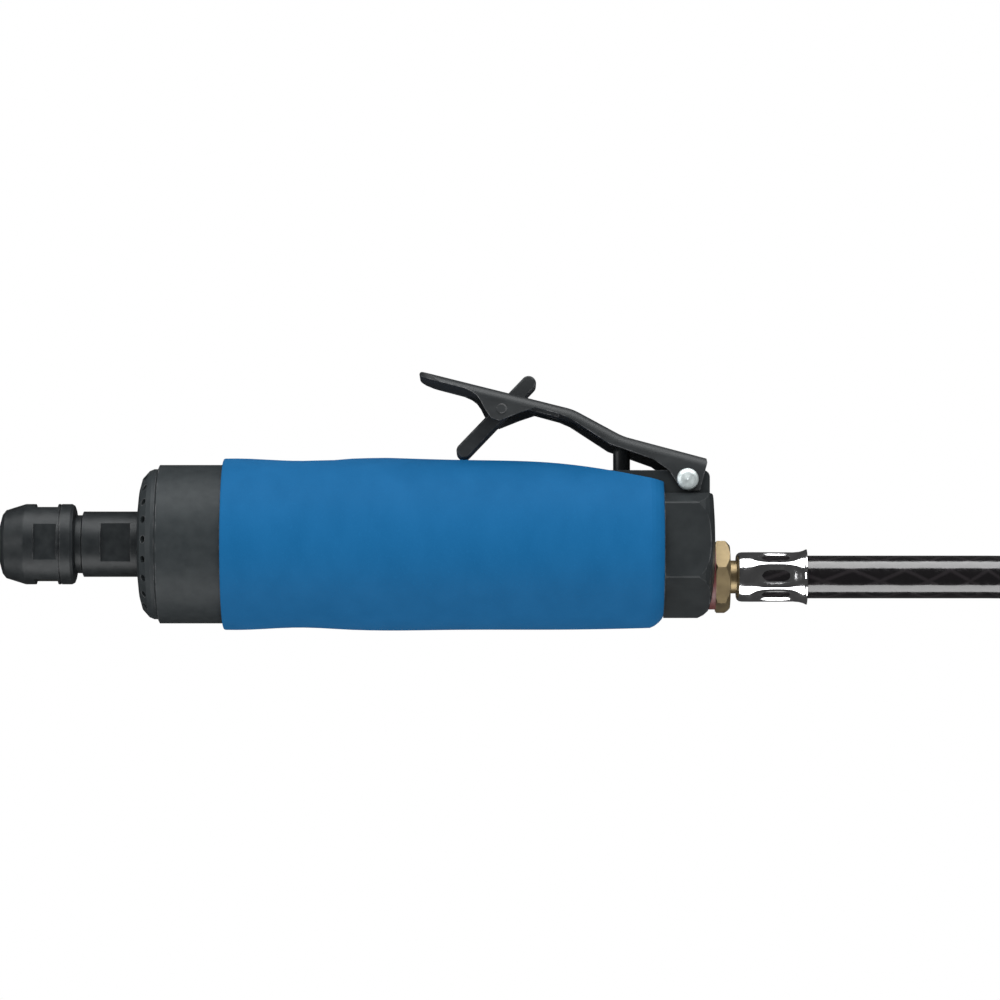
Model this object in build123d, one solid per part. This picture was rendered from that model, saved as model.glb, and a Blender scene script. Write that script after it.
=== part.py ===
"""A straight pneumatic die grinder with its throttle lever and a 1 m supply hose, in millimetres.

The origin is the collet's mouth on the spindle axis.
+X runs back to the air inlet and +Z is the lever's side.
Lengths along the tool are X stations measured from the origin.
"""

import math
import os

from build123d import *

# Driving dimensions: outside of the tool
NUT_R = 10.6
NUT_FLATS = 19.0
SPINDLE_R = 8.63
SPINDLE_FLATS = 14.0
CAP_R = 20.9
EXHAUST_HOLES = 22
EXHAUST_HOLE_R = 0.95
GRIP_R = 22.6
HOUSING_R = 19.0
HEX_FLATS = 34.0
HEX_TURNED_R = 19.5
CAP_FRONT_X = 36.8
CAP_REAR_X = 59.1
GRIP_FRONT_X = 59.15
GRIP_REAR_X = 174.9
HOUSING_JOINT_X = 154.0
HOUSING_REAR_X = 188.6
FLOOR_Z = -GRIP_R

# Driving dimensions: motor
HOUSING_BORE_R = 16.6
LINER_X = (61.4, 108.0)
LINER_BORE_R = 13.6
LINER_OFFSET_Z = 1.5
ROTOR_R = 12.0
VANE_COUNT = 5
VANE_THICKNESS = 1.6
SHAFT_R = 6.0
REAR_SHAFT_R = 5.0
SEAT_GAP = 0.05

# Driving dimensions: throttle valve, lever and lock
VALVE_X = 164.1
STEM_R = 2.25
STEM_TOP_Z = 25.8
LUG_TOP_Z = 18.75
LUG_HALF_WIDTH = 10.2
MILLED_Z = 12.6
LEVER_PIVOT = (181.1, 16.2)
PIN_R = 1.75
LEVER_HALF_WIDTH = 12.1
SHEET = 1.5
LOCK_PIVOT = (132.4, 34.75)
LOCK_ANGLE = 46.3
LOCK_FRONT_ARM = 14.3
LOCK_REAR_ARM = 10.3
LOCK_HALF_THICKNESS = 2.0
LOCK_HALF_WIDTH = 4.5

# Driving dimensions: air inlet and hose
INLET_Z = -8.66
INLET_HEX_X = 188.7
FERRULE_X = 194.2
HOSE_START_X = 195.5
HOSE_R = 5.65
HOSE_BORE_R = 3.0
FERRULE_R = 6.5
COIL_CENTRE = (348.0, 58.0)
COIL_TURN_R = (58.0, 46.6)
FLOOR_HOSE_Z = FLOOR_Z + HOSE_R
UPPER_TURN_Z = FLOOR_HOSE_Z + 2 * HOSE_R
INLET_HEX_R = 9.9
END_FITTING_Z = FLOOR_HOSE_Z + HOSE_R + INLET_HEX_R + 0.05

os.makedirs("parts", exist_ok=True)


def save(node, shape):
    """Writes one sub-part."""
    shape.label = node
    export_step(shape, f"parts/{node}.step")


def turned(*outline):
    """A body turned about the X axis from (station, radius) points."""
    return revolve(make_face(Polyline(*outline, close=True)), Axis.X)


def tube(start, end, outer, inner=0.0):
    """A plain round bar or tube along X."""
    return turned((start, inner), (end, inner), (end, outer), (start, outer))


def along_x(start, end, radius, y=0.0, z=0.0):
    """A round bar along X off the spindle axis."""
    return Plane(origin=(start, y, z), z_dir=(1, 0, 0)) * extrude(Circle(radius), end - start)


def across_y(x, z, start, end, radius):
    """A round bar along Y."""
    return Plane(origin=(x, start, z), z_dir=(0, 1, 0)) * extrude(Circle(radius), end - start)


def upright(x, y, start, end, radius):
    """A round bar along Z."""
    return Plane(origin=(x, y, start)) * extrude(Circle(radius), end - start)


def block(x0, x1, y0, y1, z0, z1):
    """A rectangular block between two corners."""
    centre = ((x0 + x1) / 2, (y0 + y1) / 2, (z0 + z1) / 2)
    return Pos(*centre) * Box(x1 - x0, y1 - y0, z1 - z0)


def plate_xz(outline, half_width):
    """A face drawn in X and Z, given its thickness along Y on both sides of the middle."""
    plane = Plane(origin=(0, half_width, 0), x_dir=(1, 0, 0), z_dir=(0, -1, 0))
    return plane * extrude(outline, 2 * half_width)


# Spindle end


def make_collet():
    body = turned(
        (0.0, 3.7), (0.4, 4.1), (1.6, 4.1), (3.6, 5.4), (6.6, 5.4), (21.0, 3.95), (21.0, 3.0), (0.0, 3.0)
    )
    slot = block(-1.0, 15.0, -0.3, 0.3, 2.0, 7.0)
    for quarter in range(4):
        body -= Rot(45 + 90 * quarter, 0, 0) * slot
    return body


def make_collet_nut():
    outer = turned(
        (0.3, 4.2),
        (0.3, 5.4),
        (1.0, 7.9),
        (1.9, 9.0),
        (6.7, 10.5),
        (7.1, NUT_R),
        (19.2, NUT_R),
        (19.9, 10.2),
        (20.2, 9.4),
        (20.2, 7.75),
        (19.6, 7.55),
        (7.2, 7.55),
        (7.2, 5.6),
        (3.7, 5.6),
        (1.75, 4.2),
    )
    for quarter in range(4):
        flat = block(9.7, 15.7, -12.0, 12.0, NUT_FLATS / 2, 14.0)
        outer -= Rot(90 * quarter, 0, 0) * flat
    groove = turned((16.2, 10.2), (16.2, 12.0), (16.6, 12.0), (16.6, 10.2))
    return outer - groove


def make_spindle():
    body = turned(
        (7.6, 5.43),
        (8.1, 7.45),
        (19.3, 7.45),
        (20.5, 7.66),
        (21.9, 7.66),
        (22.3, SPINDLE_R),
        (42.0, SPINDLE_R),
        (42.0, 7.6),
        (50.2, 7.6),
        (50.2, SHAFT_R),
        (111.3, SHAFT_R),
        (111.3, REAR_SHAFT_R),
        (120.0, REAR_SHAFT_R),
        (120.0, 4.4),
        (121.2, 4.4),
        (121.2, REAR_SHAFT_R),
        (122.0, REAR_SHAFT_R),
        (122.5, 4.5),
        (122.5, 0.0),
        (30.0, 0.0),
        (28.5, 3.3),
        (22.0, 3.93),
        (21.1, 4.0),
    )
    for side in (-1, 1):
        body -= block(27.2, 35.0, *sorted((side * SPINDLE_FLATS / 2, side * 12.0)), -12.0, 12.0)
    return body - block(70.0, 100.0, -1.5, 1.5, SHAFT_R - 1.8, SHAFT_R + 1.0)


# Motor


def make_bearing(name, start, width, bore_r, outer_r, pitch_r, ball_r, count):
    """A deep-groove ball bearing: two rings, a cage and its balls."""
    middle = start + width / 2
    groove = Plane(origin=(middle, 0, 0), z_dir=(1, 0, 0)) * Torus(pitch_r, ball_r + 0.04)
    inner = tube(start, start + width, pitch_r - 0.68 * ball_r, bore_r) - groove
    outer = tube(start, start + width, outer_r, pitch_r + 0.68 * ball_r) - groove
    cage = tube(middle - 1.35 * ball_r, middle + 1.35 * ball_r, pitch_r + 0.5, pitch_r - 0.5)
    balls = []
    for index in range(count):
        angle = 2 * math.pi * index / count
        centre = (middle, pitch_r * math.cos(angle), pitch_r * math.sin(angle))
        cage -= Pos(*centre) * Sphere(ball_r + 0.05)
        balls.append(Pos(*centre) * Sphere(ball_r))
    save(f"{name}_bearing_inner_ring", inner)
    save(f"{name}_bearing_outer_ring", outer)
    save(f"{name}_bearing_cage", cage)
    save(f"{name}_bearing_balls", Compound(balls))


def make_front_end_plate():
    plate = tube(50.05, LINER_X[0], HOUSING_BORE_R - SEAT_GAP, 8.4) - tube(50.05, 58.2, 14.0)
    for index in range(12):
        notch = block(49.0, 62.0, -1.1, 1.1, 15.3, 18.0)
        plate -= Rot(15 + 30 * index, 0, 0) * notch
    return plate - locating_hole()


def locating_hole():
    return along_x(59.0, 111.0, 1.02, z=-14.3)


def make_liner():
    liner = tube(*LINER_X, HOUSING_BORE_R - SEAT_GAP)
    liner -= along_x(LINER_X[0] - 1, LINER_X[1] + 1, LINER_BORE_R, z=LINER_OFFSET_Z)
    for station in (70.0, 78.0, 86.0, 94.0):
        liner -= block(station, station + 4.0, 8.0, 20.0, 3.0, 6.0)
        liner -= block(station, station + 4.0, -20.0, -8.0, -6.0, -3.0)
    return liner - locating_hole()


def make_rotor():
    body = tube(LINER_X[0] + 0.2, LINER_X[1] - 0.2, ROTOR_R, SHAFT_R)
    for index in range(VANE_COUNT):
        slot = block(60.0, 110.0, -0.85, 0.85, 7.4, ROTOR_R + 1)
        body -= Rot(360 / VANE_COUNT * index, 0, 0) * slot
    return body - rotor_key_space()


def rotor_key_space():
    return block(70.0, 100.0, -1.5, 1.5, SHAFT_R - 1.8, SHAFT_R + 1.2)


def make_vanes():
    blades = []
    for index in range(VANE_COUNT):
        half = VANE_THICKNESS / 2
        blade = block(LINER_X[0] + 0.3, LINER_X[1] - 0.3, -half, half, 7.6, 11.95)
        blades.append(Rot(360 / VANE_COUNT * index, 0, 0) * blade)
    return Compound(blades)


def make_rear_end_plate():
    plate = tube(LINER_X[1], 120.1, HOUSING_BORE_R - SEAT_GAP, 7.6) - tube(111.3, 121.0, 13.0)
    for index in range(3):
        angle = 2.2 + 0.35 * index
        plate -= along_x(107.0, 112.0, 1.2, 9.6 * math.cos(angle), 9.6 * math.sin(angle))
    return plate - locating_hole()


def make_retaining_ring():
    ring = tube(120.05, 121.15, 6.6, 4.45)
    return ring - block(119.0, 122.0, -1.2, 1.2, 0.0, 8.0)


# Housings and grip


def make_front_cap():
    outer = turned(
        (CAP_FRONT_X, 8.95),
        (36.9, 11.6),
        (37.3, 14.9),
        (38.0, 17.4),
        (39.7, 19.3),
        (40.9, 19.8),
        (41.9, 19.8),
        (42.4, CAP_R),
        (CAP_REAR_X, CAP_R),
        (CAP_REAR_X, HOUSING_R + SEAT_GAP),
        (50.0, HOUSING_R + SEAT_GAP),
        (50.0, 16.0),
        (47.0, 16.0),
        (47.0, 18.3),
        (40.0, 18.3),
        (39.4, 17.0),
        (39.4, 8.95),
    )
    drill = Plane(origin=(37.4, -20.0, 0), z_dir=(1, 1, 0)) * extrude(Circle(EXHAUST_HOLE_R), 6.5)
    for index in range(EXHAUST_HOLES):
        outer -= Rot(360 / EXHAUST_HOLES * index, 0, 0) * drill
    return outer


def make_motor_housing():
    return turned(
        (50.05, HOUSING_BORE_R),
        (50.05, HOUSING_R),
        (HOUSING_JOINT_X, HOUSING_R),
        (HOUSING_JOINT_X, HOUSING_BORE_R),
    )


def scoop_line():
    """The line, seen from the side, that the grip's flattened rear top follows."""
    return Spline(
        (96.0, 23.2),
        (108.0, 22.3),
        (122.5, 21.8),
        (132.0, 21.6),
        (142.6, 21.1),
        (153.0, 19.9),
        (165.0, 17.7),
        (178.0, 14.9),
    )


def make_grip_sleeve():
    line = scoop_line()
    profile = Spline(
        (GRIP_FRONT_X + 0.5, GRIP_R),
        (66.0, GRIP_R - 0.05),
        (79.0, GRIP_R - 0.6),
        (92.0, GRIP_R - 0.05),
        (120.0, GRIP_R),
        (148.0, GRIP_R - 0.05),
        (GRIP_REAR_X - 3.4, GRIP_R - 0.5),
    )
    ends = Polyline(
        (GRIP_REAR_X - 3.4, GRIP_R - 0.5),
        (GRIP_REAR_X - 2.3, GRIP_R - 1.0),
        (GRIP_REAR_X - 1.1, GRIP_R - 1.9),
        (GRIP_REAR_X - 0.3, GRIP_R - 2.8),
        (GRIP_REAR_X, GRIP_R - 3.4),
        (GRIP_REAR_X, 0),
        (GRIP_FRONT_X, 0),
        (GRIP_FRONT_X, GRIP_R - 0.5),
        (GRIP_FRONT_X + 0.15, GRIP_R - 0.15),
        (GRIP_FRONT_X + 0.5, GRIP_R),
    )
    grip = revolve(make_face([profile, ends]), Axis.X)
    above = Polyline((178.0, 14.9), (178.0, 40.0), (96.0, 40.0), (96.0, 23.2))
    grip -= plate_xz(make_face([line, above]), 30.0)
    void = tube(GRIP_FRONT_X - 1, HOUSING_JOINT_X + 2.1, HOUSING_R + SEAT_GAP)
    rear_void = tube(HOUSING_JOINT_X + 2.1, GRIP_REAR_X + 1, HOUSING_R + SEAT_GAP)
    rear_void -= block(150.0, 180.0, -30.0, 30.0, MILLED_Z + SEAT_GAP, 40.0)
    slot = block(158.0, 180.0, -LUG_HALF_WIDTH - 0.3, LUG_HALF_WIDTH + 0.3, 5.0, 40.0)
    slot = fillet(slot.edges().filter_by(Axis.Z).sort_by(Axis.X)[:2], 2.0)
    return grip - void - rear_void - slot


def make_valve_housing():
    """Rear housing: a spigot, a turned body under the grip, a domed hexagon and the lever's lug."""
    body = tube(124.0, HOUSING_JOINT_X, HOUSING_BORE_R - SEAT_GAP)
    body -= tube(123.0, 146.0, 13.0)
    body += tube(HOUSING_JOINT_X, GRIP_REAR_X + 0.1, HOUSING_R)
    hexagon = RegularPolygon(HEX_FLATS / 2, 6, major_radius=False, rotation=30)
    plane = Plane(origin=(GRIP_REAR_X + 0.1, 0, 0), x_dir=(0, 1, 0), z_dir=(1, 0, 0))
    prism = plane * extrude(hexagon, 20)
    dome = turned(
        (150.0, 0.0),
        (150.0, HEX_TURNED_R),
        (184.0, HEX_TURNED_R),
        (185.6, 18.7),
        (186.7, 17.7),
        (187.5, 16.2),
        (188.1, 13.2),
        (188.4, 9.1),
        (HOUSING_REAR_X, 5.0),
        (HOUSING_REAR_X, 0.0),
    )
    body += prism & dome
    body -= block(156.0, 195.0, -30.0, 30.0, MILLED_Z, 40.0)
    lug = block(158.5, 187.0, -LUG_HALF_WIDTH, LUG_HALF_WIDTH, 5.0, LUG_TOP_Z)
    lug = fillet(lug.edges().filter_by(Axis.Z).sort_by(Axis.X)[:2], 2.0)
    cross_edges = lug.edges().filter_by(Axis.Y)
    body += fillet(cross_edges.sort_by(lambda edge: edge.center().X + edge.center().Z)[-1], 1.8)
    cuts = [
        upright(VALVE_X, 0, 2.0, 30.0, STEM_R + 0.05),
        upright(VALVE_X, 0, 8.0, 9.8, 3.9),
        upright(VALVE_X, 0, -3.1, 5.0, 4.6),
        upright(VALVE_X, 0, -6.0, -3.0, 5.6),
        upright(VALVE_X, 0, -20.0, -6.0, 6.2),
        along_x(145.0, VALVE_X, 3.6, z=1.0),
        along_x(169.0, 177.0, 5.4, z=INLET_Z),
        along_x(177.0, 195.0, 6.6, z=INLET_Z),
        along_x(INLET_HEX_X - 1.7, 195.0, 8.9, z=INLET_Z),
        across_y(*LEVER_PIVOT, -15.0, 15.0, PIN_R),
    ]
    for cut in cuts:
        body -= cut
    return body


# Throttle valve


def make_valve_stem():
    stem = upright(VALVE_X, 0, -8.6, STEM_TOP_Z, STEM_R)
    stem = fillet(stem.edges().group_by(Axis.Z)[-1], 1.6)
    return stem + upright(VALVE_X, 0, -8.7, -7.3, 4.6)


def make_helix(radius, wire_r, pitch, height):
    path = Helix(pitch=pitch, height=height, radius=radius)
    section = Plane(origin=path @ 0, z_dir=path % 0) * Circle(wire_r)
    return sweep(section, path=path, is_frenet=True)


def make_chamber_plug():
    plug = upright(VALVE_X, 0, -17.7, -15.2, 6.2) + upright(VALVE_X, 0, -15.3, -12.6, 2.6)
    return plug - block(150.0, 180.0, -0.8, 0.8, -19.0, -16.8)


# Throttle lever and its lock


def lever_top():
    """The lever's outer line seen from the side, from its tip to its rear."""
    return FilletPolyline((111.4, 44.75), (151.2, 34.75), (164.2, 27.7), (186.1, 21.83), radius=14.0)


def lever_inner():
    """The same line one sheet thickness inside."""
    return FilletPolyline((110.4, 43.45), (150.7, 33.35), (163.6, 26.3), (185.7, 20.34), radius=14.0)


def make_throttle_lever():
    top = lever_top()
    below = Polyline(
        (186.1, 21.83),
        (186.3, 20.6),
        (184.3, 13.3),
        (181.2, 13.2),
        (178.6, 14.8),
        (176.2, 18.6),
        (172.3, 21.4),
        (166.5, 23.5),
        (160.7, 25.5),
        (150.6, 32.1),
        (147.8, 33.3),
        (141.2, 35.1),
        (137.3, 33.8),
        (131.8, 31.6),
        (129.6, 32.4),
        (127.9, 34.9),
        (126.9, 36.9),
        (125.9, 38.3),
        (124.6, 39.3),
        (122.6, 40.2),
        (114.6, 42.3),
        (112.3, 43.1),
        (111.2, 43.7),
        (110.8, 44.2),
        (110.95, 44.6),
        (111.4, 44.75),
    )
    shell = plate_xz(make_face([top, below]), LEVER_HALF_WIDTH)
    long_edges = [edge for edge in shell.edges() if abs(edge.center().Y) > 12 and on_top(edge)]
    shell = fillet(long_edges, 2.4)
    inner = lever_inner()
    under = Polyline(
        (185.7, 20.34),
        (200.0, 16.5),
        (200.0, 0.0),
        (100.0, 0.0),
        (100.0, 46.05),
        (110.4, 43.45),
    )
    hollow = plate_xz(make_face([inner, under]), LEVER_HALF_WIDTH - SHEET)
    shell -= hollow
    tip = block(100.0, 118.0, -20.0, 20.0, 30.0, 60.0)
    plan = block(110.0, 130.0, -LEVER_HALF_WIDTH, LEVER_HALF_WIDTH, 29.0, 61.0)
    plan = fillet(plan.edges().filter_by(Axis.Z).sort_by(Axis.X)[:2], 7.5)
    shell -= tip - plan
    shell -= block(132.2, 147.6, -LOCK_HALF_WIDTH - 0.5, LOCK_HALF_WIDTH + 0.5, 33.0, 45.0)
    shell -= across_y(*LEVER_PIVOT, -15.0, 15.0, PIN_R + 0.05)
    return shell - across_y(*LOCK_PIVOT, -15.0, 15.0, 1.25)


def on_top(edge):
    """Whether an edge of the lever's side face lies along its outer line."""
    line = lever_top()
    points = [edge @ share for share in (0.3, 0.7)]
    return all(line.distance_to(Vector(point.X, point.Z, 0)) < 0.05 for point in points)


def make_lever_pivot_pin():
    half = LEVER_HALF_WIDTH + 0.08
    pin = across_y(*LEVER_PIVOT, -half - 0.2, half + 0.9, PIN_R)
    head = turned((0.0, 0.0), (0.0, 2.85), (0.6, 2.85), (1.1, 2.6), (1.5, 1.8), (1.7, 0.0))
    place = Pos(LEVER_PIVOT[0], -half, LEVER_PIVOT[1]) * Rot(0, 0, -90)
    rivet = Pos(LEVER_PIVOT[0], half, LEVER_PIVOT[1]) * Rot(0, 0, 90)
    return pin + place * head + rivet * head


def lock_place():
    return Plane(
        origin=(LOCK_PIVOT[0], 0, LOCK_PIVOT[1]),
        x_dir=(math.cos(math.radians(LOCK_ANGLE)), 0, math.sin(math.radians(LOCK_ANGLE))),
        z_dir=(0, -1, 0),
    )


def make_lock_lever():
    length = LOCK_FRONT_ARM + LOCK_REAR_ARM
    middle = (LOCK_REAR_ARM - LOCK_FRONT_ARM) / 2
    bar = Pos(middle, 0) * SlotCenterToCenter(length, 2 * LOCK_HALF_THICKNESS)
    solid = extrude(bar - Circle(1.3), LOCK_HALF_WIDTH, both=True)
    return lock_place() * chamfer_ends(solid)


def chamfer_ends(solid):
    """Breaks the two outlines of the lock bar."""
    rims = [edge for edge in solid.edges() if abs(abs(edge.center().Z) - LOCK_HALF_WIDTH) < 1e-6]
    outer = [edge for edge in rims if edge.length > 9.0 or edge.radius > 1.5]
    return chamfer(outer, 0.35)


def make_lock_spring():
    wire = make_helix(2.1, 0.35, 0.8, 3.2)
    return Pos(LOCK_PIVOT[0], -9.6, LOCK_PIVOT[1]) * Rot(-90, 0, 0) * wire


# Air inlet and hose


def make_inlet_nipple(hose_start):
    """Brass nipple along +X: thread, hexagon, neck and hose barb, with the hexagon's face at zero."""
    hexagon = Rot(0, 0, 48) * RegularPolygon(8.5, 6, major_radius=False)
    prism = Plane(origin=(0, 0, 0), x_dir=(0, 1, 0), z_dir=(1, 0, 0)) * extrude(hexagon, 3.8)
    rim = INLET_HEX_R
    prism &= turned((0.0, 0.0), (0.0, 9.2), (0.5, rim), (2.4, rim), (3.8, 8.3), (3.8, 0.0))
    body = prism + turned(
        (-11.4, 0.0), (-11.4, 6.0), (-10.9, 6.58), (-1.7, 6.58), (-1.7, 6.3), (0.0, 6.3), (0.0, 0.0)
    )
    body += tube(3.7, hose_start, 4.35)
    body += tube(hose_start - 0.1, hose_start + 14.0, HOSE_BORE_R)
    return body - tube(-12.0, hose_start + 15.0, 2.0)


def make_ferrule():
    """Crimped hose ferrule along +X, starting at its rounded shoulder."""
    shell = turned(
        (0.0, 4.4),
        (0.0, 5.0),
        (0.5, 6.1),
        (1.4, FERRULE_R),
        (17.2, FERRULE_R),
        (17.8, 7.3),
        (18.6, 7.3),
        (18.6, HOSE_R),
        (1.3, HOSE_R),
        (1.3, 4.4),
    )
    for index in range(6):
        press = Pos(11.9, 0, 10.1) * Rot(90, 0, 0) * Cylinder(4.0, 30)
        shell -= Rot(60 * index - 90, 0, 0) * (press & block(6.6, 17.2, -2.6, 2.6, 5.9, 9.0))
    return shell


def route_radii(points):
    """A fillet radius for each corner: 0.45 of the shorter run over the tangent of half the turn."""
    radii = []
    for before, here, after in zip(points, points[1:], points[2:]):
        run_in = Vector(*here) - Vector(*before)
        run_out = Vector(*after) - Vector(*here)
        half_turn = math.radians(run_in.get_angle(run_out)) / 2
        radii.append(0.45 * min(run_in.length, run_out.length) / math.tan(half_turn))
    return radii


def make_hose_lead():
    route = [
        (195.5, 0.0, INLET_Z),
        (280.0, 0.0, INLET_Z),
        (317.0, 0.0, FLOOR_HOSE_Z),
        (336.0, 0.6, FLOOR_HOSE_Z),
    ]
    radii = route_radii(route)
    print("hose lead radii", [round(radius, 1) for radius in radii])
    path = FilletPolyline(*route, radius=radii)
    start = Plane(origin=path @ 0, z_dir=path % 0)
    solid = sweep(start * (Circle(HOSE_R) - Circle(HOSE_BORE_R)), path=path)
    expected = math.pi * (HOSE_R**2 - HOSE_BORE_R**2) * path.length
    print("hose lead volume", round(solid.volume), "expected", round(expected))
    print("hose lead length", round(path.length, 1))
    return solid


def coil_section(inner_r, outer_r, low, high):
    """A rectangular section with broken corners beside the coil's axis, in X and Z."""
    width, height = outer_r - inner_r, high - low
    face = Pos((inner_r + outer_r) / 2, (low + high) / 2) * RectangleRounded(width, height, 3.0)
    return Plane(origin=(0, 0, 0), x_dir=(1, 0, 0), z_dir=(0, -1, 0)) * face


def make_hose_coil():
    outer_r = COIL_TURN_R[0] + HOSE_R
    inner_r = COIL_TURN_R[1] - HOSE_R
    middle_r = COIL_TURN_R[1] + HOSE_R
    top = FLOOR_HOSE_Z + HOSE_R
    lower = revolve(coil_section(inner_r, outer_r, FLOOR_Z, top), Axis.Z)
    upper = revolve(coil_section(inner_r, middle_r, FLOOR_Z, UPPER_TURN_Z + HOSE_R), Axis.Z, 265)
    coil = Pos(*COIL_CENTRE, 0) * (lower + Rot(0, 0, 185) * upper)
    return coil - tie_place() * block(-15.0, 15.0, -5.2, 5.2, FLOOR_Z - 1, 3.0)


def tie_place():
    """The tie wraps the coil's side that is farthest from the tool."""
    return Pos(COIL_CENTRE[0] + (COIL_TURN_R[0] + COIL_TURN_R[1]) / 2, COIL_CENTRE[1], 0)


def make_coil_tie():
    outer = block(-12.5, 12.5, -5.0, 5.0, FLOOR_Z, 1.2)
    outer = fillet(outer.edges().filter_by(Axis.Y), 4.0)
    return tie_place() * outer


def main():
    save("collet", make_collet())
    save("collet_nut", make_collet_nut())
    save("spindle", make_spindle())
    save("front_cap", make_front_cap())
    save("silencer_ring", tube(40.2, 46.8, 15.9, 9.6))
    make_bearing("front", 50.2, 8.0, SHAFT_R, 14.0, 10.0, 2.38, 8)
    save("front_end_plate", make_front_end_plate())
    save("front_bearing_spacer", tube(58.2, LINER_X[0] + 0.2, 8.0, SHAFT_R))
    save("cylinder_liner", make_liner())
    save("rotor", make_rotor())
    save("rotor_vanes", make_vanes())
    save("rotor_key", rotor_key_space())
    save("locating_pin", along_x(59.2, 110.8, 1.0, z=-14.3))
    save("rear_bearing_spacer", tube(LINER_X[1] - 0.2, 111.3, 7.2, SHAFT_R))
    save("rear_end_plate", make_rear_end_plate())
    make_bearing("rear", 111.3, 8.0, REAR_SHAFT_R, 13.0, 9.0, 2.38, 7)
    save("bearing_retaining_ring", make_retaining_ring())
    save("motor_housing", make_motor_housing())
    save("grip_sleeve", make_grip_sleeve())
    save("valve_housing", make_valve_housing())
    save("valve_seat_bush", upright(VALVE_X, 0, -6.0, -3.1, 5.6) - upright(VALVE_X, 0, -7.0, 0.0, 3.2))
    ring = upright(VALVE_X, 0, 8.0, 9.8, 3.9) - upright(VALVE_X, 0, 7.0, 11.0, STEM_R + 0.05)
    save("stem_o_ring", ring)
    save("valve_stem", make_valve_stem())
    save("valve_disc", upright(VALVE_X, 0, -7.3, -6.05, 4.5) - upright(VALVE_X, 0, -8.0, -5.0, STEM_R))
    save("valve_spring", Pos(VALVE_X, 0, -14.8) * make_helix(3.6, 0.35, 1.45, 5.7))
    save("valve_chamber_plug", make_chamber_plug())
    save("throttle_lever", make_throttle_lever())
    save("lever_pivot_pin", make_lever_pivot_pin())
    save("lock_lever", make_lock_lever())
    half = LEVER_HALF_WIDTH
    save("lock_pivot_pin", across_y(*LOCK_PIVOT, -half - 0.3, half + 0.3, 1.25))
    save("lock_spring", make_lock_spring())
    save("inlet_seal", Pos(0, 0, INLET_Z) * tube(INLET_HEX_X - 1.7, INLET_HEX_X, 8.6, 6.6))
    strainer = tube(170.6, 177.0, 5.35, 4.9) + tube(170.6, 171.1, 5.35)
    save("inlet_strainer", Pos(0, 0, INLET_Z) * strainer)
    nipple = make_inlet_nipple(HOSE_START_X - INLET_HEX_X)
    ferrule = make_ferrule()
    save("inlet_nipple", Pos(INLET_HEX_X, 0, INLET_Z) * nipple)
    save("hose_ferrule", Pos(FERRULE_X, 0, INLET_Z) * ferrule)
    save("air_hose_lead", make_hose_lead())
    save("air_hose_coil", make_hose_coil())
    save("coil_tie", make_coil_tie())
    far_end = Pos(COIL_CENTRE[0] - 24.1, COIL_CENTRE[1] + COIL_TURN_R[1], END_FITTING_Z)
    save("far_end_nipple", far_end * nipple)
    save("far_end_ferrule", far_end * Pos(FERRULE_X - INLET_HEX_X, 0, 0) * ferrule)


if __name__ == "__main__":
    main()
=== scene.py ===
# %% [markdown]
# # A straight die grinder and its air hose
# The part is an air tool: a collet on a spindle at the front, an exhaust cap,
# a blue moulded grip, a throttle lever on top and a hose at the rear. The
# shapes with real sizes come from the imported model, and this script adds the
# hose, its crimped ferrules and a finish for each surface.

# %% Load the frame
import math
import bpy
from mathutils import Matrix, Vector


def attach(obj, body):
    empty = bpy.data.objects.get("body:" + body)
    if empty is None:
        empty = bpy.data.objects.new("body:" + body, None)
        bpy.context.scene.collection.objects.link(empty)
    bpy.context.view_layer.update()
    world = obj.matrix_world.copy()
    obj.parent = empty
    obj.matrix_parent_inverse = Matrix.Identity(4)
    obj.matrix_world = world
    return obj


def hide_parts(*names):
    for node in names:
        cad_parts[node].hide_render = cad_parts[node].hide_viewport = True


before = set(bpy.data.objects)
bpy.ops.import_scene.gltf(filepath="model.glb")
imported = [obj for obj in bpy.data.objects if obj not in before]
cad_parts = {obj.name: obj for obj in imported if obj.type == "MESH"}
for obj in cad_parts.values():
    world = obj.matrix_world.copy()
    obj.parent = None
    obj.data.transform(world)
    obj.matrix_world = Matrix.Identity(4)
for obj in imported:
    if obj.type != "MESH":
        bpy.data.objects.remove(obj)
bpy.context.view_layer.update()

# %% [markdown]
# ## Camera
# The tool is seen square from its side and from slightly below, with a long
# lens that hardly shows perspective. The target is the middle of the framed
# stretch, and the lens follows from that stretch's width and the distance, so
# each number means something and can be changed alone.

# %% Camera
VIEW_TARGET = Vector((0.132, 0.0, 0.0117))
VIEW_DISTANCE = 1.3
VIEW_ELEVATION = math.radians(-4.6)
VIEW_WIDTH = 0.264

camera = bpy.data.objects.new("camera", bpy.data.cameras.new("camera"))
bpy.context.scene.collection.objects.link(camera)
away = Vector((0.0, -math.cos(VIEW_ELEVATION), math.sin(VIEW_ELEVATION)))
camera.location = VIEW_TARGET + VIEW_DISTANCE * away
camera.rotation_euler = away.to_track_quat("Z", "Y").to_euler()
camera.data.sensor_width = 36.0
camera.data.lens = 36.0 * VIEW_DISTANCE / VIEW_WIDTH
camera.data.clip_start = 0.02
bpy.context.scene.camera = camera
print("lens", round(camera.data.lens, 1), "mm")

# %% [markdown]
# ## Air hose
# The tool hangs on a stiff rubber hose that leaves its ferrule straight, drops
# to the bench and is put away in a tied coil. A soft curve through few control
# points bends like a real hose, where a line of many straight runs looks like
# bent wire. The route comes first as a list of points, lead and coil alike.
# Hoses lie on the bench or on each other, so their heights follow from the
# bench's height and the hose's radius.

# %% Lead of the hose
BENCH = -0.0226
HOSE_RADIUS = 0.00565
INLET_HEIGHT = -0.00866
BENCH_HOSE = BENCH + HOSE_RADIUS
UPPER_TURN = BENCH_HOSE + 2.0 * HOSE_RADIUS
END_HEIGHT = -0.00135

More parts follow.
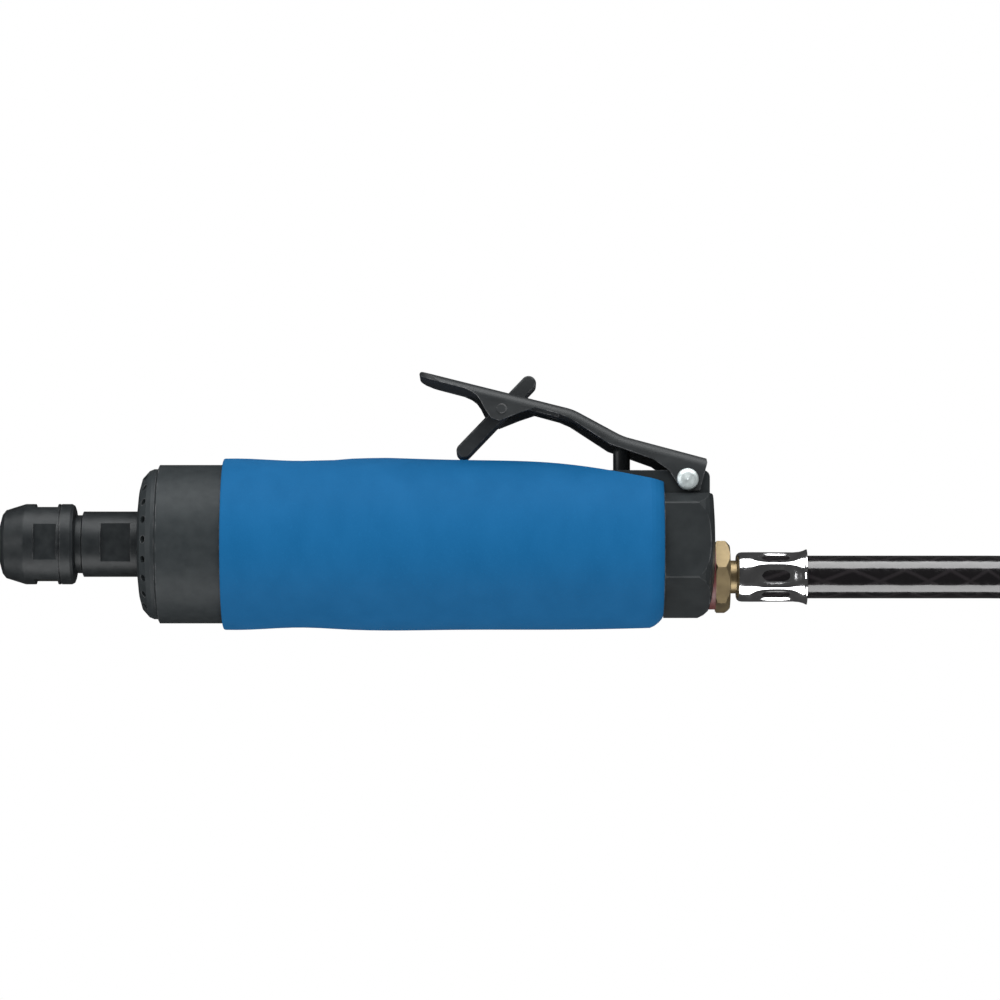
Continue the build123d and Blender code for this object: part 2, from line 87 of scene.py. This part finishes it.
hose_points = [
    (0.1955, 0.0, INLET_HEIGHT),
    (0.2400, 0.0, INLET_HEIGHT),
    (0.2820, 0.0, INLET_HEIGHT),
    (0.3160, 0.0, BENCH_HOSE),
    (0.3360, 0.0006, BENCH_HOSE),
]
print("lead points", len(hose_points))

# %% [markdown]
# ## Turns of the coil
# The hose goes round nearly two and a half times: one and a half turns on the
# bench, drawing in from a wide radius to a narrow one, then two thirds of a
# turn on top that ends in the far fitting. Radius and height are simple
# functions of the angle in degrees, and a smooth step between two values keeps
# the hose from kinking where it draws in and where it climbs.

# %% Coil
COIL_CENTRE = Vector((0.348, 0.058))
WIDE_TURN = 0.0585
NARROW_TURN = 0.0470
COIL_START = -90
COIL_END = 795
COIL_STEP = 15
END_LINE = 0.1046


def smooth_step(value, start, end):
    share = min(1.0, max(0.0, (value - start) / (end - start)))
    return share * share * (3.0 - 2.0 * share)


def turn_radius(angle):
    return WIDE_TURN + (NARROW_TURN - WIDE_TURN) * smooth_step(angle, 110, 260)


def turn_height(angle):
    climb = (UPPER_TURN - BENCH_HOSE) * smooth_step(angle, 475, 545)
    finish = (END_HEIGHT - UPPER_TURN) * smooth_step(angle, 715, 795)
    return BENCH_HOSE + climb + finish


for angle in range(COIL_START, COIL_END + 1, COIL_STEP):
    turn = math.radians(angle)
    across = turn_radius(angle)
    hose_points.append((
        COIL_CENTRE.x + across * math.cos(turn),
        COIL_CENTRE.y + across * math.sin(turn),
        turn_height(angle),
    ))
hose_points += [(x, END_LINE, END_HEIGHT) for x in (0.3480, 0.3395, 0.3310)]
print("hose points", len(hose_points))

# %% [markdown]
# ## The hose as a curve
# A curve with a round bevel is the right tool for a hose: its centreline stays
# editable and its thickness is one number. The bevel is one metre and each
# point's radius scales it down to the hose, so that the curve's own box is as
# thick as the hose. The order of the spline is set after the points are in,
# because before that it can't be more than straight runs.

# %% Hose curve
hose_curve = bpy.data.curves.new("air_hose", "CURVE")
hose_curve.dimensions = "3D"
hose_curve.bevel_depth = 1.0
hose_curve.bevel_resolution = 10
hose_curve.resolution_u = 8
spline = hose_curve.splines.new("NURBS")
spline.points.add(len(hose_points) - 1)
for point, place in zip(spline.points, hose_points):
    point.co = (*place, 1.0)
    point.radius = HOSE_RADIUS
spline.order_u = 3
spline.use_endpoint_u = True
hose = bpy.data.objects.new("air_hose", hose_curve)
bpy.context.scene.collection.objects.link(hose)
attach(hose, "root")
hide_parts("air_hose_lead", "air_hose_coil")
print("hose length", round(spline.calc_length(), 4))

# %% [markdown]
# ## Making a mesh piece
# Three pieces below are made as grids of points: rows along the piece and
# columns round it. One helper turns such a grid into a smooth object on the
# right body.

# %% Grid helper
def grid_piece(name, rows, close_rows=False):
    columns = len(rows[0])
    corners = [point for row in rows for point in row]
    faces = []
    last = len(rows) if close_rows else len(rows) - 1
    for row in range(last):
        below = row * columns
        above = (row + 1) % len(rows) * columns
        for column in range(columns):
            beside = (column + 1) % columns
            faces.append((below + column, above + column, above + beside, below + beside))
    mesh = bpy.data.meshes.new(name)
    mesh.from_pydata(corners, [], faces)
    mesh.shade_smooth()
    piece = bpy.data.objects.new(name, mesh)
    bpy.context.scene.collection.objects.link(piece)
    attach(piece, "root")
    print(name, "corners", len(corners), "faces", len(faces))
    return piece


# %% [markdown]
# ## Crimped ferrules
# A plated steel sleeve is squeezed onto the hose by six jaws. Each jaw leaves
# a long dent with rounded ends, and the sleeve's open end flares out so that
# it can't cut the rubber. The dents are too soft for sharp CAD edges, so the
# sleeve is a turned outline whose radius dips smoothly where a jaw pressed.
# The outline runs from the closed end over the outside to the lip, and back
# along the inside.

# %% Ferrule outline
FERRULE_OUTLINE = [
    (0.0000, 0.00440),
    (0.0000, 0.00555),
    (0.0002, 0.00600),
    (0.0007, 0.00638),
    (0.0014, 0.00652),
    (0.0040, 0.00655),
    (0.0150, 0.00650),
    (0.0166, 0.00664),
    (0.0177, 0.00694),
    (0.0184, 0.00728),
    (0.0186, 0.00730),
    (0.0184, 0.00702),
    (0.0176, 0.00640),
    (0.0162, 0.00585),
    (0.0140, 0.00575),
]
LIP = max(along for along, radius in FERRULE_OUTLINE)
DENT_DEPTH = 0.00095
DENT_MIDDLE = 0.0103
DENT_HALF_LENGTH = 0.0070
DENT_HALF_TURN = 0.50
DENT_SQUARENESS = 3
DENT_FLAT_SHARE = 0.45
JAWS = 6


def dent(along, turn):
    """Share of a jaw's full dent at a place on the sleeve: an oval with a soft rim."""
    step = 2.0 * math.pi / JAWS
    off_centre = abs((turn + step / 2.0) % step - step / 2.0) / DENT_HALF_TURN
    off_middle = abs(along - DENT_MIDDLE) / DENT_HALF_LENGTH
    away_from_jaw = (
        off_centre ** DENT_SQUARENESS + off_middle ** DENT_SQUARENESS
    ) ** (1.0 / DENT_SQUARENESS)
    return 1.0 - smooth_step(away_from_jaw, DENT_FLAT_SHARE, 1.0)


print("outline points", len(FERRULE_OUTLINE), "jaws", JAWS)

# %% [markdown]
# The outline's few points are joined by short steps, close enough that the
# dents come out round, and the plating has the same soft edges all over.

# %% Ferrules
STATION_STEP = 0.00035
FERRULE_COLUMNS = 144


def ferrule_stations():
    """The outline's points, with more between them wherever they lie far apart."""
    stations = []
    for (x0, r0), (x1, r1) in zip(FERRULE_OUTLINE, FERRULE_OUTLINE[1:]):
        steps = max(1, math.ceil(math.hypot(x1 - x0, r1 - r0) / STATION_STEP))
        stations += [
            (x0 + (x1 - x0) * i / steps, r0 + (r1 - r0) * i / steps) for i in range(steps)
        ]
    return stations + [FERRULE_OUTLINE[-1]]


def ferrule(name, start, node):
    rows = []
    outside = True
    for along, radius in ferrule_stations():
        outside = outside and along < LIP
        row = []
        for column in range(FERRULE_COLUMNS):
            turn = 2.0 * math.pi * column / FERRULE_COLUMNS
            pressed = DENT_DEPTH * dent(along, turn) if outside else 0.0
            width = radius - pressed
            row.append((
                start.x + along,
                start.y - width * math.cos(turn),
                start.z + width * math.sin(turn),
            ))
        rows.append(row)
    piece = grid_piece(name, rows)
    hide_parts(node)
    return piece


inlet_ferrule = ferrule(
    "crimped_ferrule", Vector((0.1942, 0.0, INLET_HEIGHT)), "hose_ferrule"
)
end_ferrule = ferrule(
    "crimped_ferrule_far", Vector((0.3294, END_LINE, END_HEIGHT)), "far_end_ferrule"
)

# %% [markdown]
# ## Strap round the coil
# A woven strap holds the turns together. It lies tight on the three hoses it
# goes round, so its section is the line of a belt round three pulleys: in each
# direction, the furthest any hose reaches, plus the strap's thickness.

# %% Strap
STRAP_PULLEYS = [(0.4060, BENCH_HOSE), (0.3946, BENCH_HOSE), (0.3946, UPPER_TURN)]
STRAP_HALF_WIDTH = 0.0048
STRAP_THICKNESS = 0.0009
STRAP_GAP = 0.0001
STRAP_STEPS = 120


def belt_point(turn, reach):
    ahead = Vector((math.cos(turn), math.sin(turn)))
    x, z = max(STRAP_PULLEYS, key=lambda centre: Vector(centre).dot(ahead))
    return x + reach * ahead.x, max(BENCH, z + reach * ahead.y)


strap_rows = []
for step in range(STRAP_STEPS):
    turn = 2.0 * math.pi * step / STRAP_STEPS
    inside = belt_point(turn, HOSE_RADIUS + STRAP_GAP)
    outside = belt_point(turn, HOSE_RADIUS + STRAP_THICKNESS)
    section = []
    for side, (x, z) in ((-1, inside), (1, inside), (1, outside), (-1, outside)):
        section.append((x, COIL_CENTRE.y + side * STRAP_HALF_WIDTH, z))
    strap_rows.append(section)
strap = grid_piece("coil_strap", strap_rows, close_rows=True)
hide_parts("coil_tie")

# %% Hose facts
print("hose built")

# %% [markdown]
# ## Studio
# Chrome and black rubber show the room they stand in: here two long soft
# boxes, one above and one below, with darkness between them, and a smaller
# box off the nut's end. Those boxes only make reflections, and a broad lamp
# high in front only makes light and shadow, so the glints and the colours can
# be balanced one by one.

# %% Lamps
LAMP_TARGET = Vector((0.15, 0.0, 0.0))


def lamp(name, place, size, power, glints):
    light = bpy.data.lights.new(name, "AREA")
    light.shape = "RECTANGLE"
    light.size, light.size_y = size
    light.energy = power
    holder = bpy.data.objects.new(name, light)
    bpy.context.scene.collection.objects.link(holder)
    holder.location = place
    aim = Vector(place) - LAMP_TARGET
    holder.rotation_euler = aim.to_track_quat("Z", "Y").to_euler()
    holder.visible_diffuse = not glints
    holder.visible_glossy = glints
    print(name, "power", power)


lamp("upper_glint_box", (0.15, -0.50, 1.15), (1.9, 1.05), 38.0, True)
lamp("lower_glint_box", (0.15, -0.42, -1.17), (1.9, 0.95), 30.0, True)
lamp("side_glint_box", (-1.05, -0.62, 0.05), (0.9, 0.5), 9.0, True)
lamp("front_soft_lamp", (0.05, -0.95, 0.95), (1.4, 1.0), 8.5, False)

# %% [markdown]
# The room is white to the eye, so that the backdrop is clean, bright enough
# to fill the shadows, and nearly black in reflections, so that dark finishes
# stay dark between the two glints.

# %% Room
ROOM_FILL = 0.80
ROOM_GLOSS = 0.06

world = bpy.data.worlds.new("room")
bpy.context.scene.world = world
world.use_nodes = True
room = world.node_tree
rays = room.nodes.new("ShaderNodeLightPath")
lit = room.nodes.new("ShaderNodeMixRGB")
lit.inputs["Color1"].default_value = (ROOM_FILL, ROOM_FILL, ROOM_FILL, 1.0)
lit.inputs["Color2"].default_value = (ROOM_GLOSS, ROOM_GLOSS, ROOM_GLOSS, 1.0)
room.links.new(rays.outputs["Is Glossy Ray"], lit.inputs["Fac"])
backdrop = room.nodes.new("ShaderNodeMixRGB")
backdrop.inputs["Color2"].default_value = (1.0, 1.0, 1.0, 1.0)
room.links.new(rays.outputs["Is Camera Ray"], backdrop.inputs["Fac"])
room.links.new(lit.outputs["Color"], backdrop.inputs["Color1"])
room.links.new(backdrop.outputs["Color"], room.nodes["Background"].inputs["Color"])
bpy.context.scene.view_settings.view_transform = "Standard"
print("room ready")

# %% [markdown]
# The bench is a pale sheet that is only there for an eye above it, so the
# lower box lights the tool from below as it would on a glass table.

# %% Bench
BENCH_REACH = 9.0

bench_mesh = bpy.data.meshes.new("bench")
corner_signs = [(-1.0, -1.0), (1.0, -1.0), (1.0, 1.0), (-1.0, 1.0)]
bench_mesh.from_pydata(
    [(x * BENCH_REACH, y * BENCH_REACH, BENCH) for x, y in corner_signs],
    [],
    [(0, 1, 2, 3)],
)
bench = bpy.data.objects.new("bench", bench_mesh)
bpy.context.scene.collection.objects.link(bench)
bench_paint = bpy.data.materials.new("bench_paint")
bench_paint.use_nodes = True
nodes, links = bench_paint.node_tree.nodes, bench_paint.node_tree.links
nodes["Principled BSDF"].inputs["Base Color"].default_value = (0.86, 0.86, 0.86, 1.0)
nodes["Principled BSDF"].inputs["Roughness"].default_value = 0.9
side = nodes.new("ShaderNodeNewGeometry")
path = nodes.new("ShaderNodeLightPath")
above = nodes.new("ShaderNodeMath")
above.operation = "SUBTRACT"
above.use_clamp = True
links.new(path.outputs["Is Camera Ray"], above.inputs[0])
links.new(side.outputs["Backfacing"], above.inputs[1])
clear = nodes.new("ShaderNodeBsdfTransparent")
mix = nodes.new("ShaderNodeMixShader")
links.new(above.outputs["Value"], mix.inputs["Fac"])
links.new(clear.outputs["BSDF"], mix.inputs[1])
links.new(nodes["Principled BSDF"].outputs["BSDF"], mix.inputs[2])
links.new(mix.outputs["Shader"], nodes["Material Output"].inputs["Surface"])
bench_mesh.materials.append(bench_paint)
print("bench at", BENCH)

# %% [markdown]
# ## Finishes
# Every finish below starts from the same few tools: a physical shader, a noise
# measured in metres on the piece itself, a colour between two tones, a
# roughness between two values and a relief of a stated depth. Measured on the
# piece, a grain keeps its real size and moves with its part.

# %% Finish tools
class Finish:
    """A material: its plain colour and roughness first, then nodes that vary them."""

    def __init__(self, name, colour, roughness, metallic=0.0):
        self.material = bpy.data.materials.new(name)
        self.material.use_nodes = True
        self.nodes = self.material.node_tree.nodes
        self.links = self.material.node_tree.links
        self.shader = self.nodes["Principled BSDF"]
        self.set("Base Color", (*colour, 1.0))
        self.set("Roughness", roughness)
        self.set("Metallic", metallic)
        self.colour = None

    def set(self, socket, value):
        self.shader.inputs[socket].default_value = value

    def grain(self, size, detail=3.0, stretch=(1.0, 1.0, 1.0)):
        """Noise with lumps of that size in metres, longer where stretch is above one."""
        place = self.nodes.new("ShaderNodeTexCoord")
        scale = self.nodes.new("ShaderNodeMapping")
        scale.inputs["Scale"].default_value = [1.0 / (size * s) for s in stretch]
        noise = self.nodes.new("ShaderNodeTexNoise")
        noise.inputs["Scale"].default_value = 1.0
        noise.inputs["Detail"].default_value = detail
        self.links.new(place.outputs["Object"], scale.inputs["Vector"])
        self.links.new(scale.outputs["Vector"], noise.inputs["Vector"])
        return noise.outputs["Fac"]

    def between(self, factor, low, high, start=0.3, end=0.7):
        """A value from low to high as the factor goes from start to end."""
        ramp = self.nodes.new("ShaderNodeMapRange")
        for socket, value in (
            ("From Min", start), ("From Max", end), ("To Min", low), ("To Max", high)
        ):
            ramp.inputs[socket].default_value = value
        self.links.new(factor, ramp.inputs["Value"])
        return ramp.outputs["Result"]

    def tone(self, factor, first, second):
        """Base colour between two tones, laid over the tone so far where one is None."""
        mix = self.nodes.new("ShaderNodeMixRGB")
        self.links.new(factor, mix.inputs["Fac"])
        if first is None:
            self.links.new(self.colour, mix.inputs["Color1"])
        else:
            mix.inputs["Color1"].default_value = (*first, 1.0)
        mix.inputs["Color2"].default_value = (*second, 1.0)
        self.colour = mix.outputs["Color"]
        self.links.new(self.colour, self.shader.inputs["Base Color"])

    def rough(self, factor, low, high):
        self.links.new(self.between(factor, low, high), self.shader.inputs["Roughness"])

    def relief(self, *layers):
        """Bumps of the given depths in metres, one layer on top of another."""
        normal = None
        for height, depth in layers:
            bump = self.nodes.new("ShaderNodeBump")
            bump.inputs["Strength"].default_value = 1.0
            bump.inputs["Distance"].default_value = depth
            self.links.new(height, bump.inputs["Height"])
            if normal is not None:
                self.links.new(normal, bump.inputs["Normal"])
            normal = bump.outputs["Normal"]
        self.links.new(normal, self.shader.inputs["Normal"])

    def edges(self, reach, patchy):
        """Where a rounded copy of the surface turns away from it: its worn edges."""
        rounded = self.nodes.new("ShaderNodeBevel")
        rounded.samples = 4
        rounded.inputs["Radius"].default_value = reach
        flat = self.nodes.new("ShaderNodeNewGeometry")
        turn = self.nodes.new("ShaderNodeVectorMath")
        turn.operation = "DOT_PRODUCT"
        self.links.new(rounded.outputs["Normal"], turn.inputs[0])
        self.links.new(flat.outputs["Normal"], turn.inputs[1])
        worn = self.between(turn.outputs["Value"], 1.0, 0.0, 0.86, 0.985)
        times = self.nodes.new("ShaderNodeMath")
        times.operation = "MULTIPLY"
        self.links.new(worn, times.inputs[0])
        self.links.new(self.between(patchy, 0.0, 1.0, 0.42, 0.62), times.inputs[1])
        return times.outputs["Value"]

    def give(self, *names):
        for name in names:
            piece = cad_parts.get(name) or bpy.data.objects[name]
            if not piece.material_slots:
                piece.data.materials.append(self.material)
            for slot in piece.material_slots:
                slot.material = self.material
        print(self.material.name, "on", len(names), "pieces")


# %% [markdown]
# ## Blue grip
# The sleeve is a soft-touch moulding: a slightly cloudy blue with the fine
# grain of a sparked mould, dull enough that it never shows a hard highlight.
# Two noises, one for the clouds and one for the grain, keep it alive without
# drawing a pattern.

# %% Grip blue
grip = Finish("soft_blue_grip", (0.010, 0.130, 0.335), 0.62)
clouds = grip.grain(0.0075, 5.0, (1.0, 1.0, 2.0))
pores = grip.grain(0.00045, 2.0)
grip.tone(grip.between(clouds, 0.0, 1.0), (0.0080, 0.122, 0.308), (0.0110, 0.137, 0.340))
grip.tone(grip.between(pores, 0.0, 0.3, 0.55, 0.75), None, (0.016, 0.165, 0.400))
grip.rough(pores, 0.56, 0.70)
grip.relief((clouds, 0.00005), (pores, 0.000035))
grip.set("Specular IOR Level", 0.03)
grip.give("grip_sleeve")

# %% [markdown]
# ## Exhaust cap and rear housing
# Both are black anodised aluminium. The cap was turned, so its fine marks run
# round it; the rear housing was milled and tumbled, so its grain has no
# direction. Rubbed corners show a little bare metal.

# %% Black anodised parts
cap = Finish("turned_black_anodise", (0.030, 0.033, 0.035), 0.40)
rings = cap.grain(0.00022, 2.0, (1.0, 400.0, 400.0))
dust = cap.grain(0.0030, 4.0)
cap.tone(cap.between(dust, 0.0, 1.0), (0.028, 0.034, 0.037), (0.038, 0.045, 0.048))
cap.tone(cap.edges(0.0004, cap.grain(0.0018)), None, (0.16, 0.16, 0.165))
cap.rough(rings, 0.44, 0.54)
cap.relief((rings, 0.000005), (cap.grain(0.0003), 0.000004))
cap.set("Specular IOR Level", 0.10)
cap.give("front_cap", "front_end_plate")

housing = Finish("tumbled_black_anodise", (0.026, 0.031, 0.033), 0.46)
fine = housing.grain(0.00035, 3.0)
patches = housing.grain(0.0050, 4.0)
housing.tone(
    housing.between(patches, 0.0, 1.0), (0.022, 0.026, 0.028), (0.031, 0.036, 0.038)
)
housing.tone(housing.edges(0.0005, housing.grain(0.0022)), None, (0.15, 0.155, 0.16))
housing.rough(fine, 0.40, 0.54)
housing.relief((fine, 0.000010))
housing.set("Specular IOR Level", 0.12)
housing.give("valve_housing", "motor_housing", "rear_end_plate", "valve_chamber_plug")

# %% [markdown]
# ## Spindle and nut
# Steel turned parts with an oiled black oxide: almost as dark as the cap but
# shinier, with turning marks that catch the light as bright hairlines.

# %% Black oxide
oxide = Finish("oiled_black_oxide", (0.016, 0.019, 0.021), 0.36)
rings = oxide.grain(0.00018, 2.0, (1.0, 300.0, 300.0))
film = oxide.grain(0.0024, 4.0)
oxide.tone(oxide.between(film, 0.0, 1.0), (0.013, 0.016, 0.018), (0.024, 0.028, 0.030))
oxide.tone(oxide.edges(0.0004, oxide.grain(0.0015)), None, (0.07, 0.072, 0.075))
oxide.rough(rings, 0.36, 0.46)
oxide.relief((rings, 0.000004))
oxide.set("Specular IOR Level", 0.16)
oxide.give("spindle", "collet_nut", "valve_stem")

# %% [markdown]
# ## Lever and lock
# Both are bent from sheet steel and powder painted. The paint's skin has a
# faint orange peel, and it has rubbed off the edges that a hand and the bench
# touch.

# %% Painted sheet
paint = Finish("black_lever_paint", (0.022, 0.025, 0.027), 0.40)
peel = paint.grain(0.0011, 2.0)
rubs = paint.grain(0.0040, 5.0, (3.0, 1.0, 1.0))
paint.tone(paint.between(rubs, 0.0, 1.0), (0.018, 0.021, 0.023), (0.029, 0.033, 0.035))
paint.tone(paint.edges(0.00045, paint.grain(0.0016)), None, (0.20, 0.20, 0.205))
paint.rough(rubs, 0.44, 0.56)
paint.relief((peel, 0.000018))
paint.set("Specular IOR Level", 0.28)
paint.give("throttle_lever", "lock_lever", "lock_pivot_pin")

# %% [markdown]
# ## Pins, springs and bearings
# Small steel parts are zinc plated or ground bright. Plating has a cloudy
# grey-green film, ground steel has fine scratches all one way.

# %% Bright steels
zinc = Finish("cloudy_zinc_plate", (0.62, 0.68, 0.68), 0.48, 0.6)
film = zinc.grain(0.0016, 4.0)
zinc.tone(zinc.between(film, 0.0, 1.0), (0.50, 0.56, 0.56), (0.68, 0.74, 0.74))
zinc.rough(film, 0.42, 0.56)
zinc.relief((zinc.grain(0.00025), 0.000004))
zinc.give("lever_pivot_pin", "locating_pin")

ground = Finish("ground_bearing_steel", (0.56, 0.57, 0.58), 0.22, 1.0)
marks = ground.grain(0.00015, 2.0, (1.0, 200.0, 200.0))
ground.tone(ground.between(marks, 0.0, 1.0), (0.50, 0.51, 0.52), (0.62, 0.63, 0.64))
ground.rough(marks, 0.16, 0.30)
ground.relief((marks, 0.000003))
BEARINGS = [
    f"{end}_bearing_{part}"
    for end in ("front", "rear")
    for part in ("outer_ring", "inner_ring", "balls")
]
ground.give(
    *BEARINGS, "front_bearing_spacer", "rear_bearing_spacer", "bearing_retaining_ring"
)

spring = Finish("drawn_spring_wire", (0.45, 0.46, 0.47), 0.28, 1.0)
draw = spring.grain(0.0004, 3.0)
spring.tone(spring.between(draw, 0.0, 1.0), (0.38, 0.39, 0.40), (0.52, 0.53, 0.54))
spring.rough(draw, 0.22, 0.36)
spring.give("valve_spring", "lock_spring")

# %% [markdown]
# ## Collet and motor iron
# The collet is hardened steel with a straw-grey skin. The rotor and liner are
# plain machined iron, grey and a little oily.

# %% Collet and motor
collet = Finish("hardened_collet_steel", (0.32, 0.33, 0.34), 0.30, 1.0)
skin = collet.grain(0.0012, 4.0)
collet.tone(collet.between(skin, 0.0, 1.0), (0.26, 0.26, 0.26), (0.38, 0.38, 0.39))
collet.rough(skin, 0.24, 0.38)
collet.relief((collet.grain(0.00016, 2.0, (1.0, 200.0, 200.0)), 0.000004))
collet.give("collet")

iron = Finish("oily_machined_iron", (0.25, 0.25, 0.25), 0.40, 0.9)
skin = iron.grain(0.0020, 4.0)
iron.tone(iron.between(skin, 0.0, 1.0), (0.19, 0.19, 0.19), (0.31, 0.31, 0.31))
iron.rough(skin, 0.32, 0.50)
iron.relief((iron.grain(0.0004), 0.000008))
iron.give("rotor", "cylinder_liner", "rotor_key")

# %% [markdown]
# ## Brass and bronze
# The hose nipples, the valve seat and the bearing cages are drawn brass that
# has dulled to olive, and the silencer ring and strainer are sintered bronze
# beads.

# %% Brass and bronze
brass = Finish("dulled_brass", (0.40, 0.31, 0.17), 0.40, 0.7)
dull = brass.grain(0.0030, 5.0)
brass.tone(brass.between(dull, 0.0, 1.0), (0.20, 0.150, 0.080), (0.26, 0.200, 0.105))
brass.tone(brass.edges(0.0003, brass.grain(0.0012)), None, (0.40, 0.31, 0.18))
brass.rough(dull, 0.36, 0.46)
brass.relief((brass.grain(0.00020, 2.0, (1.0, 60.0, 60.0)), 0.000004))
brass.give(
    "inlet_nipple",
    "far_end_nipple",
    "valve_seat_bush",
    "front_bearing_cage",
    "rear_bearing_cage",
)

beads = Finish("sintered_bronze_beads", (0.45, 0.33, 0.20), 0.55, 0.9)
bead = beads.grain(0.0003, 1.0)
beads.tone(beads.between(bead, 0.0, 1.0), (0.20, 0.14, 0.08), (0.52, 0.38, 0.23))
beads.rough(bead, 0.45, 0.70)
beads.relief((bead, 0.00010))
beads.give("silencer_ring", "inlet_strainer")

# %% [markdown]
# ## Seals and vanes
# Nitrile rings are matt black, the washer under the nipple is red vulcanised
# fibre, and the vanes are brown cloth laminate.

# %% Seals and vanes
rubber = Finish("matt_nitrile", (0.030, 0.030, 0.030), 0.62)
skin = rubber.grain(0.0006, 3.0)
rubber.tone(rubber.between(skin, 0.0, 1.0), (0.024, 0.024, 0.024), (0.038, 0.038, 0.038))
rubber.rough(skin, 0.54, 0.70)
rubber.give("stem_o_ring", "valve_disc")

fibre = Finish("red_fibre_washer", (0.18, 0.026, 0.022), 0.50)
strands = fibre.grain(0.0005, 4.0, (0.4, 2.0, 2.0))
fibre.tone(fibre.between(strands, 0.0, 1.0), (0.14, 0.020, 0.018), (0.21, 0.032, 0.026))
fibre.rough(strands, 0.42, 0.60)
fibre.relief((strands, 0.00002))
fibre.give("inlet_seal")

laminate = Finish("brown_cloth_laminate", (0.28, 0.17, 0.09), 0.48)
weave = laminate.grain(0.0004, 3.0, (1.0, 1.0, 4.0))
laminate.tone(laminate.between(weave, 0.0, 1.0), (0.21, 0.12, 0.06), (0.33, 0.21, 0.11))
laminate.rough(weave, 0.42, 0.56)
laminate.give("rotor_vanes")

# %% [markdown]
# ## Chrome
# The ferrule's plating is nearly a mirror. What little it has of its own is a
# faint haze and shallow ripples from the press.

# %% Chrome
chrome = Finish("bright_chrome", (0.75, 0.75, 0.76), 0.08, 1.0)
haze = chrome.grain(0.0022, 4.0)
chrome.tone(chrome.between(haze, 0.0, 1.0), (0.68, 0.68, 0.69), (0.80, 0.80, 0.81))
chrome.rough(haze, 0.08, 0.16)
chrome.relief((chrome.grain(0.0016, 1.0), 0.000012))
chrome.give(inlet_ferrule.name, end_ferrule.name)

# %% [markdown]
# ## Braided hose
# A glossy black skin is extruded over a braid, and the braid shows through as
# a faint lattice of small lozenges. The lattice is two sets of stripes that
# wind round the hose in opposite directions, so it is drawn with the curve's
# own length and turn.

# %% Hose rubber
HOSE_LENGTH = spline.calc_length()
BRAID_PITCH = 0.0030
BRAID_STRANDS = 6

rubber_skin = Finish("glossy_braided_rubber", (0.010, 0.009, 0.010), 0.16)
lengthwise = rubber_skin.nodes.new("ShaderNodeTexCoord")
parts = rubber_skin.nodes.new("ShaderNodeSeparateXYZ")
rubber_skin.links.new(lengthwise.outputs["UV"], parts.inputs["Vector"])


def maths(finish, operation, first, second):
    """One step of arithmetic on two values, each a number or another node's output."""
    node = finish.nodes.new("ShaderNodeMath")
    node.operation = operation
    for socket, value in zip(node.inputs, (first, second)):
        if isinstance(value, (int, float)):
            socket.default_value = value
        else:
            finish.links.new(value, socket)
    return node.outputs["Value"]


along = maths(
    rubber_skin, "MULTIPLY", parts.outputs["X"], 2.0 * math.pi * HOSE_LENGTH / BRAID_PITCH
)
around = maths(rubber_skin, "MULTIPLY", parts.outputs["Y"], 2.0 * math.pi * BRAID_STRANDS)
leaning = maths(rubber_skin, "SINE", maths(rubber_skin, "ADD", along, around), 0.0)
opposed = maths(rubber_skin, "SINE", maths(rubber_skin, "SUBTRACT", along, around), 0.0)
braid = maths(rubber_skin, "MAXIMUM", leaning, opposed)
ripple = rubber_skin.grain(0.0014, 2.0)
rubber_skin.tone(
    rubber_skin.between(braid, 0.0, 1.0, 0.75, 1.0),
    (0.007, 0.006, 0.007),
    (0.020, 0.017, 0.019),
)
rubber_skin.rough(ripple, 0.12, 0.22)
rubber_skin.relief((braid, 0.00002), (ripple, 0.00003))
rubber_skin.set("Coat Weight", 0.6)
rubber_skin.set("Coat Roughness", 0.08)
rubber_skin.give(hose.name)

# %% [markdown]
# ## Woven strap
# The strap is polyester webbing: fine ribs across its length.

# %% Strap webbing
webbing = Finish("ribbed_webbing", (0.040, 0.040, 0.045), 0.75)
rib = webbing.grain(0.0005, 2.0, (1.0, 6.0, 1.0))
webbing.tone(webbing.between(rib, 0.0, 1.0), (0.022, 0.022, 0.026), (0.060, 0.060, 0.066))
webbing.rough(rib, 0.65, 0.85)
webbing.relief((rib, 0.00012))
webbing.set("Sheen Weight", 0.2)
webbing.give(strap.name)

# %% [markdown]
# ## Finish
# The last step lists every imported piece that still has no finish of its own.


print("pieces without a finish:", [
    name for name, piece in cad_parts.items()
    if not any(slot.material and slot.material.use_nodes for slot in piece.material_slots)
])
